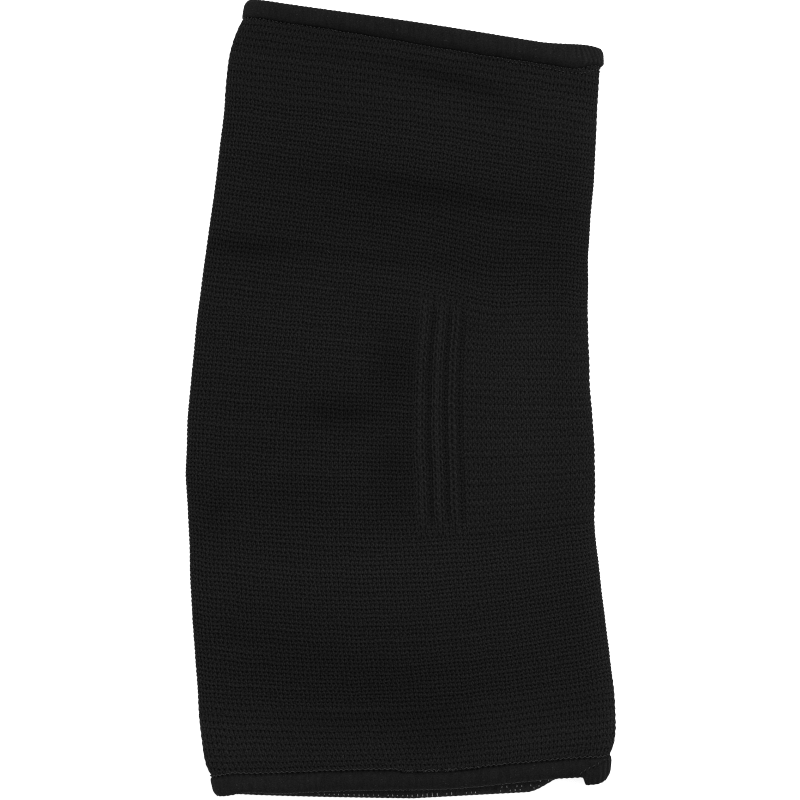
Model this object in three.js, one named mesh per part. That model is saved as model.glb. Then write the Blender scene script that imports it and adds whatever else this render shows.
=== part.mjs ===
// Knitted knee support lying flat: a hollow elastic knit tube with a bound edge at each end.
// Millimetres, +Z up, underside on z = 0. The thigh end is at +Y and the knee cap side at -X.
import * as THREE from "three";
import { LoftGeometry } from "three/addons/geometries/LoftGeometry.js";

// Knit wall
const wallThickness = 2;
const sleeveLength = 271.6;
const upperEdgeY = 134.03;
const foldReach = 9;

// Edge bindings: cloth that wraps the wall's edge, inside and out
const bindingThickness = 1.1;
const bindingGap = 0.3;
const bindingOverlap = 4.2;
const bindingBulge = 2.7;
const bindingCrest = -1;
const bindingSwell = 0.6;
const upperBow = 1.4;
const lowerBow = 0.6;
const upperEndRise = 1;
const upperEndDraw = 2.4;
const lapRise = 2.8;

// Raised wales on the upper face
const ribHeight = 0.6;
const ribSlope = 0.7;
const ribStart = 93;
const ribEnd = 178;
const ribFade = 8;

// Sections of the laid sleeve. down: distance from the thigh edge along the sleeve. sway: X of the
// section's middle. width: across the flat tube. tilt: turn of the section in degrees. top: height of
// the crown. fold: height of the folded sides. lift: height of the underside above the floor. sag and
// under: how far the middle of the upper and the lower layer hangs towards the calf end. dip: how much
// further the upper layer hangs a little behind its middle.
const sections = [
  { down: 0, sway: 8.5, width: 130.3, tilt: -8.6, top: 18, fold: 12.6, lift: 1.4, sag: 0.2, under: 0, dip: 0 },
  { down: 4, sway: 7.7, width: 130.9, tilt: -8.6, top: 18.1, fold: 12.6, lift: 1.4, sag: 0.2, under: 0, dip: 0 },
  { down: 7, sway: 6.8, width: 132.6, tilt: -8.6, top: 18.2, fold: 12.8, lift: 1, sag: 0.1, under: 0, dip: 0 },
  { down: 17, sway: 4.8, width: 135.3, tilt: -8.5, top: 18.6, fold: 13, lift: 0, sag: 0, under: 0, dip: 0 },
  { down: 40, sway: 3.1, width: 136.7, tilt: -8.6, top: 18.9, fold: 13, lift: 0, sag: 0, under: 0, dip: 0 },
  { down: 65, sway: 0.6, width: 137.8, tilt: -8.6, top: 19, fold: 13, lift: 0, sag: 0, under: 0, dip: 0 },
  { down: 113, sway: -2.9, width: 143.5, tilt: -5.1, top: 19.4, fold: 13.4, lift: 0, sag: 0.5, under: 0, dip: 0 },
  { down: 158, sway: -3.7, width: 149.1, tilt: -0.6, top: 20, fold: 13.4, lift: 0, sag: 3.5, under: 0, dip: 0 },
  { down: 178, sway: -3.3, width: 148, tilt: 0.4, top: 20, fold: 13.4, lift: 0, sag: 5, under: 1, dip: 0 },
  { down: 206, sway: -1.4, width: 149.6, tilt: 1.7, top: 20, fold: 13.4, lift: 0, sag: 6.4, under: 2, dip: 0 },
  { down: 231, sway: 1, width: 150.8, tilt: 2.7, top: 19.6, fold: 13.2, lift: 0, sag: 5.6, under: 3, dip: 0 },
  { down: 253, sway: 2.9, width: 151.3, tilt: 3.1, top: 19, fold: 13, lift: 0, sag: 3.2, under: 4.6, dip: 0.6 },
  { down: 263, sway: 3.5, width: 148.6, tilt: 3.1, top: 18.8, fold: 12.8, lift: 1, sag: 0.8, under: 5.4, dip: 1.1 },
  { down: 267.3, sway: 3.7, width: 145.2, tilt: 3.1, top: 18.6, fold: 12.6, lift: 1.4, sag: -0.4, under: 5.6, dip: 1.3 },
  { down: 271.6, sway: 4, width: 143.1, tilt: 3.1, top: 18.6, fold: 12.6, lift: 1.4, sag: -0.9, under: 5.8, dip: 1.4 },
];

// Where the layers hang, as shares of the half width from the knee cap side to the back
const dipPlace = { middle: 0.2, span: 0.36 };
const underHang = { start: -0.95, full: 0, ease: 0.55, end: 0.78 };

// Hollows pressed into the upper face: place, half spans and depth
const dents = [
  { across: 18, down: 15, spanAcross: 16, spanDown: 7, depth: 0.9 },
  { across: 0, down: 82, spanAcross: 60, spanDown: 20, depth: 2 },
  { across: -18, down: 137, spanAcross: 14, spanDown: 9, depth: 0.9 },
  { across: 3, down: 139, spanAcross: 7, spanDown: 30, depth: 0.7 },
  { across: 0, down: 242, spanAcross: 55, spanDown: 16, depth: 2 },
];

// Raised wales: distance across from the middle of the sleeve and width of the flat top
const ribs = [
  { across: 12.4, width: 2 },
  { across: 18.4, width: 2 },
  { across: 24.6, width: 1 },
];

// Steps of the loft
const hemSteps = [0, 2.5, 4.5, 8, 13];
const bodySteps = 22;
const foldSteps = 7;
const underSteps = 16;
const frontSteps = 8;
const backSteps = 4;
const rimSteps = 3;

const columns = ["sway", "width", "tilt", "top", "fold", "lift", "sag", "under", "dip"];
const sectionCurve = new THREE.CubicInterpolant(
  sections.map((section) => section.down),
  sections.flatMap((section) => columns.map((column) => section[column])),
  columns.length,
);

function sectionAt(down) {
  const values = sectionCurve.evaluate(THREE.MathUtils.clamp(down, 0, sleeveLength));
  const section = Object.fromEntries(columns.map((column, index) => [column, values[index]]));
  return { ...section, lift: Math.max(0, section.lift) };
}

// Evenly spread numbers from first to last, both included
function spread(first, last, steps) {
  return Array.from({ length: steps + 1 }, (_, index) => first + ((last - first) * index) / steps);
}

// Stations round a section, from the front along the underside, up the back fold, over the top and
// down the front fold. share is a part of the flat half width, across is a fixed distance.
function stationsAround() {
  const ribZoneShare = { front: 0.06, back: 0.5 };
  const lastAngle = 90 - 180 / foldSteps;
  const foldAngles = spread(-lastAngle, lastAngle, foldSteps - 2);
  const under = spread(-1, 1, underSteps).map((share) => ({ layer: "under", share }));
  const backFold = foldAngles.map((angle) => ({ layer: "fold", angle, side: 1 }));
  const back = spread(1, ribZoneShare.back, backSteps).map((share) => ({ layer: "upper", share }));
  const ribStations = [...ribs].reverse().flatMap((rib) => {
    const half = rib.width / 2;
    return [half + ribSlope, half, -half, -half - ribSlope].map((offset, index) => ({
      layer: "upper",
      across: rib.across + offset,
      raised: index === 1 || index === 2,
    }));
  });
  const front = spread(ribZoneShare.front, -1, frontSteps).map((share) => ({ layer: "upper", share }));
  const frontFold = foldAngles.map((angle) => ({ layer: "fold", angle: -angle, side: -1 }));
  return [...under, ...backFold, ...back, ...ribStations, ...front, ...frontFold];
}

function dentDepth(across, down) {
  return dents.reduce((sum, dent) => {
    const a = (across - dent.across) / dent.spanAcross;
    const d = (down - dent.down) / dent.spanDown;
    return sum + dent.depth * Math.exp(-a * a - d * d);
  }, 0);
}

// Height of the upper face: a crown that meets the folds level, less the hollows
function upperHeight(section, across, down) {
  const flatHalf = section.width / 2 - foldReach;
  const share = Math.min(1, Math.abs(across) / flatHalf);
  const shoulder = section.lift + section.fold;
  const rise = (1 - share * share) ** 2;
  const settle = Math.min(1, (1 - share) * 5);
  return shoulder + (section.top - shoulder) * rise - dentDepth(across, down) * settle;
}

// Point of a section's outline in its own plane, with the outward direction there
function outlineAt(station, section, down) {
  const flatHalf = section.width / 2 - foldReach;
  if (station.layer === "under") {
    return { across: station.share * flatHalf, height: section.lift, outAcross: 0, outHeight: -1 };
  }
  if (station.layer === "fold") {
    const angle = THREE.MathUtils.degToRad(station.angle);
    const halfFold = section.fold / 2;
    const out = new THREE.Vector2(Math.cos(angle) / foldReach, Math.sin(angle) / halfFold).normalize();
    return {
      across: station.side * (flatHalf + foldReach * Math.cos(angle)),
      height: section.lift + halfFold + halfFold * Math.sin(angle),
      outAcross: station.side * out.x,
      outHeight: out.y,
    };
  }
  const across = station.across ?? station.share * flatHalf;
  const step = 0.5;
  const before = upperHeight(section, across - step, down);
  const after = upperHeight(section, across + step, down);
  const out = new THREE.Vector2(before - after, 2 * step).normalize();
  return {
    across,
    height: upperHeight(section, across, down),
    outAcross: out.x,
    outHeight: out.y,
  };
}

// How far a layer hangs towards the calf end at a share of the half width
function hangAt(section, share, upper) {
  if (upper) {
    const fromDip = (share - dipPlace.middle) / dipPlace.span;
    return section.sag * (1 - Math.min(1, share * share)) + section.dip * Math.exp(-fromDip * fromDip);
  }
  const { start, full, ease, end } = underHang;
  const front = THREE.MathUtils.smoothstep(share, start, full);
  const back = 1 - THREE.MathUtils.smoothstep(share, ease, end);
  return section.under * front * back;
}

// Point of the wall at a station, moved outwards by an offset. Past either edge the section goes
// straight on.
function wallPoint(station, down, offset) {
  const section = sectionAt(down);
  const past = down - THREE.MathUtils.clamp(down, 0, sleeveLength);
  const outline = outlineAt(station, section, down - past);
  const across = outline.across + offset * outline.outAcross;
  const height = outline.height + offset * outline.outHeight;
  const upper = station.layer === "upper" || (station.layer === "fold" && station.angle > 0);
  const hang = past + hangAt(section, (2 * outline.across) / section.width, upper);
  const tilt = THREE.MathUtils.degToRad(section.tilt);
  return new THREE.Vector3(
    section.sway + across * Math.cos(tilt) + hang * Math.sin(tilt),
    upperEdgeY - (down - past) + across * Math.sin(tilt) - hang * Math.cos(tilt),
    height,
  );
}

function ribOffset(station, down) {
  if (!station.raised) {
    return 0;
  }
  const start = THREE.MathUtils.smoothstep(down, ribStart, ribStart + ribFade);
  const end = 1 - THREE.MathUtils.smoothstep(down, ribEnd - ribFade, ribEnd);
  return ribHeight * start * end;
}

const stations = stationsAround();

// A closed ring of cloth: the loft of closed sections that ends on the section it starts from
function closedLoft(rings) {
  return new LoftGeometry([...rings, rings[0]]);
}

function sleeveGeometry() {
  const lastHem = hemSteps[hemSteps.length - 1];
  const body = spread(lastHem, sleeveLength - lastHem, bodySteps).slice(1, -1);
  const downs = [...hemSteps, ...body, ...[...hemSteps].reverse().map((step) => sleeveLength - step)];
  const outer = downs.map((down) =>
    stations.map((station) => wallPoint(station, down, ribOffset(station, down))),
  );
  const inner = downs.map((down) => stations.map((station) => wallPoint(station, down, -wallThickness)));
  return closedLoft([...outer, ...inner.reverse()]);
}

function onBackFold(station) {
  return station.layer === "fold" && station.side === 1;
}

// Share of the bow of a band's inner edge, which is deepest in the middle of the upper layer
function bowAt(station, edgeDown) {
  if (station.layer !== "upper") {
    return 0;
  }
  const flatHalf = sectionAt(edgeDown).width / 2 - foldReach;
  const share = station.share ?? station.across / flatHalf;
  return 1 - share * share;
}

// Profile of a binding round the wall's edge at a station. out: distance outwards from the wall's outer
// face. past: distance past the wall's edge, negative on the sleeve.
function bindingProfile(overlap, swell, rise) {
  const crest = bindingGap + bindingThickness + swell;
  const inside = -wallThickness - bindingGap - bindingThickness;
  const middle = -wallThickness / 2;
  const tip = bindingBulge + rise;
  const quarter = spread(0, Math.PI / 2, rimSteps);
  const roll = quarter.map((angle) => ({
    out: bindingGap + (crest - bindingGap) * Math.sin(angle),
    past: bindingCrest - (overlap + bindingCrest) * Math.cos(angle),
  }));
  const rim = quarter.slice(1).map((angle) => ({
    out: middle + (crest - middle) * Math.cos(angle),
    past: bindingCrest + (tip - bindingCrest) * Math.sin(angle),
  }));
  const back = quarter.slice(1).map((angle) => ({
    out: middle + (inside - middle) * Math.sin(angle),
    past: bindingCrest + (tip - bindingCrest) * Math.cos(angle),
  }));
  return [
    ...roll,
    ...rim,
    ...back,
    { out: inside, past: -bindingOverlap + bindingThickness / 2 },
    { out: -wallThickness - bindingGap, past: -bindingOverlap },
    { out: -wallThickness - bindingGap, past: bindingGap },
    { out: bindingGap, past: bindingGap },
  ];
}

// A band round one edge. At the back fold its rim stands further out by rise and its inner edge is drawn
// in by draw.
function bindingGeometry({ edgeDown, direction, bow, rise, draw }) {
  const profiles = stations.map((station) => {
    const atFold = onBackFold(station) ? 1 : 0;
    const overlap = bindingOverlap + bow * bowAt(station, edgeDown) - draw * atFold;
    return bindingProfile(overlap, station.layer === "upper" ? bindingSwell : 0, rise * atFold);
  });
  const rings = profiles[0].map((_, index) =>
    stations.map((station, place) => {
      const corner = profiles[place][index];
      return wallPoint(station, edgeDown + direction * corner.past, corner.out);
    }),
  );
  return closedLoft(direction < 0 ? rings.reverse() : rings);
}

const upperBand = { edgeDown: 0, direction: -1, bow: upperBow, rise: upperEndRise, draw: upperEndDraw };
const lowerBand = { edgeDown: sleeveLength, direction: 1, bow: lowerBow, rise: lapRise, draw: 0 };

function piece(name, geometry, material) {
  const mesh = new THREE.Mesh(geometry, material);
  mesh.name = name;
  return mesh;
}

const knit = new THREE.MeshStandardMaterial({ name: "knit", color: 0x1a1a1a, roughness: 0.95 });
const binding = new THREE.MeshStandardMaterial({ name: "binding", color: 0x161616, roughness: 0.9 });

const kneeSupport = new THREE.Group();
kneeSupport.name = "knee_support";
kneeSupport.add(
  piece("knit_sleeve", sleeveGeometry(), knit),
  piece("upper_binding", bindingGeometry(upperBand), binding),
  piece("lower_binding", bindingGeometry(lowerBand), binding),
);

export default kneeSupport;
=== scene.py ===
import math

import bmesh
import bpy
import numpy as np
from bpy.props import FloatProperty, FloatVectorProperty, IntProperty, PointerProperty
from mathutils import Matrix


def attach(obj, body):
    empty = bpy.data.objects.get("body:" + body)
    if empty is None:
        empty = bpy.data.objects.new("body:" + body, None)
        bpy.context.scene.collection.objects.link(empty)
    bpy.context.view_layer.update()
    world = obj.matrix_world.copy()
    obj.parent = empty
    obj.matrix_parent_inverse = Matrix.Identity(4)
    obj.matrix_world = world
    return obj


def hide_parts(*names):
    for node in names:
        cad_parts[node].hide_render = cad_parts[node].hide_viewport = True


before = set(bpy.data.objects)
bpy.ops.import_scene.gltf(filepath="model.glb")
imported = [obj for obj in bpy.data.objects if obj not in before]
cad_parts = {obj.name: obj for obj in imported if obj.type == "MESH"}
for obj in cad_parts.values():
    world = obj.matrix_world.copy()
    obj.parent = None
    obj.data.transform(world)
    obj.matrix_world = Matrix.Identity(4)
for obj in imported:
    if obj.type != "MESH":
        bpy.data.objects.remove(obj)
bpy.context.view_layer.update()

bl_info = {
    "name": "Knitted Knee Support",
    "version": (1, 0, 0),
    "blender": (4, 5, 0),
    "location": "View3D > Sidebar > Knee Support",
    "description": "Dresses the knee support's frame in knitted loops, bound edges and sewing thread",
    "category": "Object",
}

MM = 0.001
BODY = "root"
SLEEVE_NODE = "knit_sleeve"
UPPER_NODE = "upper_binding"
LOWER_NODE = "lower_binding"

# The laid sleeve, section by section, in millimetres and degrees. down: distance from the thigh edge.
# sway: X of the section's middle. width: across the flat tube. tilt: turn of the section. top: height
# of the crown. fold: height of the folded sides. lift: height of the underside. sag and under: how far
# the middle of the upper and the lower layer hangs towards the calf end. dip: how much further the
# upper layer hangs a little behind its middle.
SECTION_COLUMNS = ("down", "sway", "width", "tilt", "top", "fold", "lift", "sag", "under", "dip")
SECTION_ROWS = (
    (0, 8.5, 130.3, -8.6, 18.0, 12.6, 1.4, 0.2, 0.0, 0.0),
    (4, 7.7, 130.9, -8.6, 18.1, 12.6, 1.4, 0.2, 0.0, 0.0),
    (7, 6.8, 132.6, -8.6, 18.2, 12.8, 1.0, 0.1, 0.0, 0.0),
    (17, 4.8, 135.3, -8.5, 18.6, 13.0, 0.0, 0.0, 0.0, 0.0),
    (40, 3.1, 136.7, -8.6, 18.9, 13.0, 0.0, 0.0, 0.0, 0.0),
    (65, 0.6, 137.8, -8.6, 19.0, 13.0, 0.0, 0.0, 0.0, 0.0),
    (113, -2.9, 143.5, -5.1, 19.4, 13.4, 0.0, 0.5, 0.0, 0.0),
    (158, -3.7, 149.1, -0.6, 20.0, 13.4, 0.0, 3.5, 0.0, 0.0),
    (178, -3.3, 148.0, 0.4, 20.0, 13.4, 0.0, 5.0, 1.0, 0.0),
    (206, -1.4, 149.6, 1.7, 20.0, 13.4, 0.0, 6.4, 2.0, 0.0),
    (231, 1, 150.8, 2.7, 19.6, 13.2, 0.0, 5.6, 3.0, 0.0),
    (253, 2.9, 151.3, 3.1, 19.0, 13.0, 0.0, 3.2, 4.6, 0.6),
    (263, 3.5, 148.6, 3.1, 18.8, 12.8, 1.0, 0.8, 5.4, 1.1),
    (267.3, 3.7, 145.2, 3.1, 18.6, 12.6, 1.4, -0.4, 5.6, 1.3),
    (271.6, 4, 143.1, 3.1, 18.6, 12.6, 1.4, -0.9, 5.8, 1.4),
)
SECTION_UNITS = np.array((MM, MM, MM, math.radians(1), MM, MM, MM, MM, MM, MM))
SECTIONS = np.array(SECTION_ROWS, dtype=float) * SECTION_UNITS
SLEEVE_LENGTH = SECTIONS[-1, 0]
UPPER_EDGE_Y = 134.03 * MM
FOLD_REACH = 9 * MM
# Points round a folded side and across a flat face
FOLD_POINTS = 24
FACE_POINTS = 121
# Where the upper layer dips, and where the under layer's hang starts, fades and ends, in half widths
DIP_PLACE = 0.2
DIP_REACH = 0.36
HANG_START = -0.97
HANG_POWER = 0.8
HANG_FADE = 0.585
HANG_END = 0.815

# Hollows pressed into the upper face, in millimetres: place, half spans and depth
DENT_ROWS = (
    # across, down, span across, span down, depth
    (18, 15, 16, 7, 0.9),
    (0, 82, 60, 20, 2.0),
    (-18, 137, 14, 9, 0.9),
    (3, 139, 7, 30, 0.7),
    (0, 242, 55, 16, 2.0),
)
DENTS = np.array(DENT_ROWS, dtype=float) * MM
# Share of the half width over which the hollows fade out beside the folds
HOLLOW_MARGIN = 0.2

# One stitch repeat of six rows. gap, leg and spine: heights between two wales, on the legs of the loop
# and between the legs, as shares of the relief. spread: distance of each leg from the spine in wales.
COARSE_STITCH = np.array((
    # gap, leg, spine, spread
    (-0.95, 0.25, 0.50, 0.14),
    (-0.90, 0.60, 0.65, 0.18),
    (-0.50, 0.85, 0.45, 0.25),
    (-0.05, 0.95, 0.20, 0.32),
    (0.30, 0.80, 0.00, 0.37),
    (0.00, 0.55, 0.05, 0.36),
))
# The fine knit repeats every two courses, an open one and a close one
FINE_STITCH = np.array((
    (-1.35, -0.05, 0.55, 0.14),
    (-1.00, 0.85, 0.65, 0.22),
    (0.25, 0.90, -0.30, 0.38),
    (-0.95, 0.05, 0.50, 0.14),
    (-0.60, 0.85, 0.65, 0.22),
    (0.35, 0.90, -0.15, 0.38),
))
# How far the close courses stand aside of the open ones, in wales
FINE_SHIFT = 0.12
# The panel behind the knee: the legs of neighbouring loops meet in a zigzag
PANEL_STITCH = np.array((
    (-1.10, 0.15, 0.60, 0.12),
    (-1.00, 0.70, 0.70, 0.17),
    (-0.60, 1.00, 0.25, 0.25),
    (0.05, 1.00, -0.30, 0.32),
    (0.45, 0.90, -0.50, 0.38),
    (0.10, 0.30, -0.35, 0.38),
))
# The raised wales beside the knee cap: long upright legs with dark slots between them
RIB_STITCH = np.array((
    (-0.45, 0.25, 0.30, 0.26),
    (-0.10, 0.75, 0.05, 0.30),
    (0.35, 1.05, -0.80, 0.35),
    (0.55, 1.15, -1.20, 0.36),
    (0.35, 0.95, -1.10, 0.36),
    (-0.30, 0.40, -0.20, 0.30),
))
# Length of a repeat of the panel and of the raised wales
PANEL_REPEAT = 2.44 * MM
ROWS_IN_REPEAT = len(COARSE_STITCH)
GAP, LEG, SPINE, SPREAD = range(4)
# Columns of one wale: which height each one takes and on which side of the spine it lies
UPPER_PLACES = ((GAP, 0), (LEG, -1), (SPINE, 0), (LEG, 1))
UNDER_PLACES = ((GAP, 0), (LEG, 0))

# Zones of the knit from the thigh to the calf
ZONES = (
    # name, stitch repeats, length of a repeat in mm, coarse or fine, tone
    ("knit_upper_welt", 13, 2.45, True, 0.86),
    ("knit_thigh", 22, 3.158, False, 0.965),
    ("knit_knee", 25, 2.779, False, 0.98),
    ("knit_calf", 22, 3.027, False, 1.0),
    ("knit_lower_welt", 12, 2.50, True, 0.92),
)
# Where the knit starts below the thigh edge
KNIT_START = 1.6 * MM
# First and last of each group of raised wales, the panel's first wale on the upper layer, and the place of
# the panel's middle round the tube
RIB_WALES = ((57, 58), (61, 62), (65, 65))
PANEL_WALE = 68
PANEL_MIDDLE = 0.78
# How far columns rise beside the knee cap, in rib heights: raised wales, the gaps at their sides, the knit
# between them and the panel
RIB_RISE = 1.0
RIB_SIDE_RISE = 0.1
BETWEEN_RISE = -0.9
PANEL_RISE = 0.2
# Edges of the raised wales and of the panel, in wales, as knitted and as the raised wales spread
RIB_EDGES = (55, 57, 59, 61, 63, 65, 66, 68)
SPREAD_EDGES = (55, 56.7, 59.4, 60.8, 63.4, 64.6, 66.4, 68)
# Unevenness of the knit from loop to loop, point to point, gap to gap and over the stretches that each
# course has round the tube, as shares of the relief and as changes of tone
LOOP_RELIEF = 0.03
POINT_RELIEF = 0.05
GAP_RELIEF = 0.04
STRETCH_RELIEF = 0.1
LOOP_TONE = 0.02
POINT_TONE = 0.06
STRETCH_TONE = 0.02
STRETCHES = 14
# Painted highlight on legs that stand above a height, and painted light on the raised wales with painted
# shade on the knit sunk between them
LEG_HIGHLIGHT = 0.22
LEG_TOP = 0.5
RISE_SHADING = 0.14
# Painted shade in the gaps: where they start to darken, and how much deeper they are darkest, in shares of
# the relief
PIT_TOP = 0.6
PIT_DEPTH = 1.5
# How far single loops stray, in wales and along the sleeve
STRAY_ROUND = 0.035
STRAY_DOWN = 0.04 * MM
# How far from both edges the courses lie straight
STEADY_REACH = 8 * MM
# The under layer's loops are pressed in by the floor, in shares of the relief
UNDER_PRESS = 1.5
# Rows of the smooth inside of each ring of knit, and how much painted shade it takes
INNER_ROWS = 8
INNER_PIT = 0.3
# Soft patches of painted shade and painted light on the upper face, standing in for the light and shade of
# its shallow undulations
SHADING_PATCHES = (
    # x, y, half length and half width in mm, direction in degrees, change of tone
    (22, 115, 22, 3.4, -17, -0.34),
    (-5, 122, 32, 3.5, -10, -0.10),
    (58, 106, 16, 16, 0, 0.12),
    (11, 76, 42, 4.8, -9, -0.28),
    (8, 68, 58, 14, -8, -0.09),
    (-54, 56, 17, 4.4, -3, -0.30),
    (10, 51, 45, 3.5, -4, -0.12),
    (-35, 24, 24, 13, 0, 0.07),
    (-23, -4.5, 13, 6.5, 0, -0.32),
    (-3, 13, 8, 13, 0, -0.26),
    (-3, -25, 8, 14, 0, -0.22),
    (47, 0, 40, 18, 90, 0.15),
    (-67, -40, 6, 8, 0, -0.22),
    (-42, -34, 12, 8, 0, -0.08),
    (-6, -60, 68, 10, 3, 0.12),
    (-40, -92, 34, 15, -16, -0.13),
    (6, -103, 30, 16, -8, -0.14),
    (12, -119, 14, 9, 0, -0.2),
    (-26, -116, 20, 4, 0, -0.14),
    (-58, -122, 16, 6.5, 0, 0.14),
    (58, -122, 22, 7, 5, 0.08),
)
# Painted highlight on the knit where each fold turns down
FOLD_HIGHLIGHT = (0.34, 0.28)
EDGE_REACH = 0.05
# Courses pushed towards the calf above the panel: distance down, place round, spans of both, by how much
COURSE_SWING = (90 * MM, 0.73, 28 * MM, 0.11, 3.6 * MM)
# Wales pushed towards the knee cap beside the panel, as a share of the way round, in the same order
WALE_SWING = (137 * MM, 0.61, 45 * MM, 0.13, -0.0135)
# How far the wales of the upper layer lean over towards the ends: distance down, share of the way round,
# and the span round the tube in which they do
LEAN_DOWN = (0, 33 * MM, 238 * MM, 268 * MM)
LEAN_AROUND = (-0.012, 0, 0, 0.027)
LEAN_SPAN = (0, 0.1, 0.45, 1)
# Where the raised wales and the panel start and end down the sleeve, and how far they fade there
RIB_START = 93 * MM
RIB_END = 178 * MM
RIB_FADE = 8 * MM
# Waves round the tube that make up a drift, how fast they may turn along it, and what their sum is cut by
DRIFT_TURNS = (2, 3, 5, 7, 11, 16, 23, 31)
DRIFT_TWIST = (60, 420)
DRIFT_SCALE = 3

# Points on each cross ridge, and rows over the tape in degrees: from seam to crest, crest to rim, rim to hem
RIDGE_POINTS = 8
SEAM_ROWS, RIM_ROWS, HEM_ROWS = (
    np.radians(np.linspace(*span))[:, None] for span in ((0, 90, 12), (10, 90, 9), (18, 90, 5))
)
# Where the tape is thickest and where its rim ends, past the sleeve's edge, and its height at the seam
TAPE_PEAK = -1.0 * MM
TAPE_TIP = 2.7 * MM
TAPE_FOOT = 0.15 * MM
# Spans round the tube, by where each starts, is full, fades and ends: where a band is drawn in, gathered,
# stands out at its corner, reaches further onto the knit or is slack
UPPER_DRAWN = (0.905, 0.975, 1.05, 1.12)
UPPER_GATHER = (0.87, 0.95, 1.05, 1.12)
UPPER_CORNER = (0.8, 0.95, 1.04, 1.1)
LOWER_FRONT = (0, 0.1, 0.455, 0.485)
LOWER_SLACK = (0.455, 0.49, 0.655, 0.67)
LOWER_GATHER = (0.945, 0.965, 1.05, 1.1)
# Painted light and shade along each band: places round the tube, and the tone there
UPPER_SHADE = (0, 0.06, 0.1, 0.4, 0.8, 0.93, 1, 1.1), (1.1, 1.04, 0.94, 0.92, 1.05, 1.2, 1.24, 1)
LOWER_SHADE = (0, 0.15, 0.35, 0.5, 0.93, 0.97, 1.1), (1.14, 1.14, 1, 0.95, 1, 1.12, 1)
# Where the lower seam is sewn loosely, and how far that reaches round the tube
LOOSE_PLACE = 0.57
LOOSE_REACH = 0.1
# Where the lower band's lap starts, how far round its slanting seam runs, where its stitches start and end,
# how far apart they are, and the spans in which its rim bulges and its face stands out
LAP_START = 0.905
LAP_SPAN = 0.075
LAP_FIRST = LAP_START + 0.006
LAP_LAST = LAP_START + 0.05
LAP_PITCH = 0.0092
LAP_BULGE = (0.916, 0.923, 0.945, 1.03)
LAP_FACE = (LAP_START, LAP_START + 0.012, 0.95, 1.005)
# Where the upper band's seam has a second row, where the near rim has the far hem behind it, and the spans
# of the far hem: its second row, the clear stretch after it, and the end of its stitches
SECOND_ROW = (0.72, 0.95, 1.1)
RIM_BACKED = (0.13, 0.18, 0.8, 0.83)
FAR_SECOND = (1.16, 1.29)
FAR_CLEAR = 1.335
FAR_END = (1.8, 1.66)
# Pale ends of thread that lie on the knit
LOOSE_ENDS = (
    # place round the tube, distance down and length in mm
    (0.655, 170, 1.3),
    (0.812, 164, 2.0),
    (0.345, 259.5, 1.7),
    (0.354, 51, 1.3),
    (0.63, 131, 1.1),
)

# The stage: the camera's sensor in mm and its place over the sleeve, the height at which the picture is as
# wide as its frame, the lamp's place, the floor's half width and distance below the sleeve, and the width of
# the pixel filter
SENSOR_WIDTH = 36
CAMERA_PLACE = (-0.2 * MM, 0.33 * MM)
FRAME_HEIGHT = 8 * MM
LAMP_PLACE = (0.4, 1.0, 2.0)
FLOOR_HALF = 30
FLOOR_DROP = 0.05 * MM
PIXEL_FILTER = 1.1


def smooth_step(low, high, value):
    """0 at low and 1 at high, level at both, whichever of the two is greater."""
    t = np.clip((value - low) / (high - low), 0, 1)
    return t * t * (3 - 2 * t)


def plateau(value, start, full, fade, end):
    """0 before start, 1 from full to fade, and 0 again after end."""
    return smooth_step(start, full, value) * smooth_step(end, fade, value)


def bell(value, place, reach):
    """1 at a place, fading to both sides of it."""
    return np.exp(-(((value - place) / reach) ** 2))


def cubic_rows(at, table):
    """Rows of the table at places along its first column, on a smooth cubic that is level at both ends."""
    knots = table[:, 0]
    steps = np.diff(knots)
    slopes = np.diff(table, axis=0) / steps[:, None]
    tangents = np.zeros_like(table)
    tangents[1:-1] = (slopes[:-1] + slopes[1:]) / 2
    at = np.clip(at, knots[0], knots[-1])
    low = np.clip(np.searchsorted(knots, at, side="right") - 1, 0, len(steps) - 1)
    step = steps[low][:, None]
    t = (at - knots[low])[:, None] / step
    rise = t * t * (3 - 2 * t)
    bend = step * t * (t - 1) * ((t - 1) * tangents[low] + t * tangents[low + 1])
    return (1 - rise) * table[low] + rise * table[low + 1] + bend


def section_at(down):
    """Section measures at distances down the sleeve, as columns of shape (n, 1)."""
    rows = cubic_rows(down, SECTIONS)
    section = {name: rows[:, [i]] for i, name in enumerate(SECTION_COLUMNS)}
    section["lift"] = np.maximum(section["lift"], 0)
    section["flat"] = section["width"] / 2 - FOLD_REACH
    return section


def upper_height(section, share, down):
    """Height of the upper face at shares of the flat half width: a crown less its hollows."""
    across = share * section["flat"]
    hollow = np.zeros_like(across)
    for place, at, span_across, span_down, depth in DENTS:
        hollow += depth * bell(across, place, span_across) * bell(down, at, span_down)
    shoulder = section["lift"] + section["fold"]
    rise = (1 - share**2) ** 2
    settle = np.minimum(1, (1 - np.abs(share)) / HOLLOW_MARGIN)
    return shoulder + (section["top"] - shoulder) * rise - hollow * settle


def layer_paths(down):
    """Across and height along the upper and the under layer of each section, from edge to edge."""
    section = section_at(down)
    angle = np.linspace(0, math.pi / 2, FOLD_POINTS)[None, :]
    share = np.linspace(-1, 1, FACE_POINTS)[None, 1:-1]
    reach = section["flat"] + FOLD_REACH * np.cos(angle)
    half_fold = section["fold"] / 2
    middle = section["lift"] + half_fold
    rise = half_fold * np.sin(angle)
    over = middle + rise
    below = middle - rise
    flat = share * section["flat"]
    crown = upper_height(section, share, down[:, None])
    level = np.repeat(section["lift"], share.shape[1], axis=1)
    upper = np.hstack((-reach, flat, reach[:, ::-1])), np.hstack((over, crown, over[:, ::-1]))
    under = np.hstack((reach, -flat, -reach[:, ::-1])), np.hstack((below, level, below[:, ::-1]))
    return section, upper, under


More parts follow.
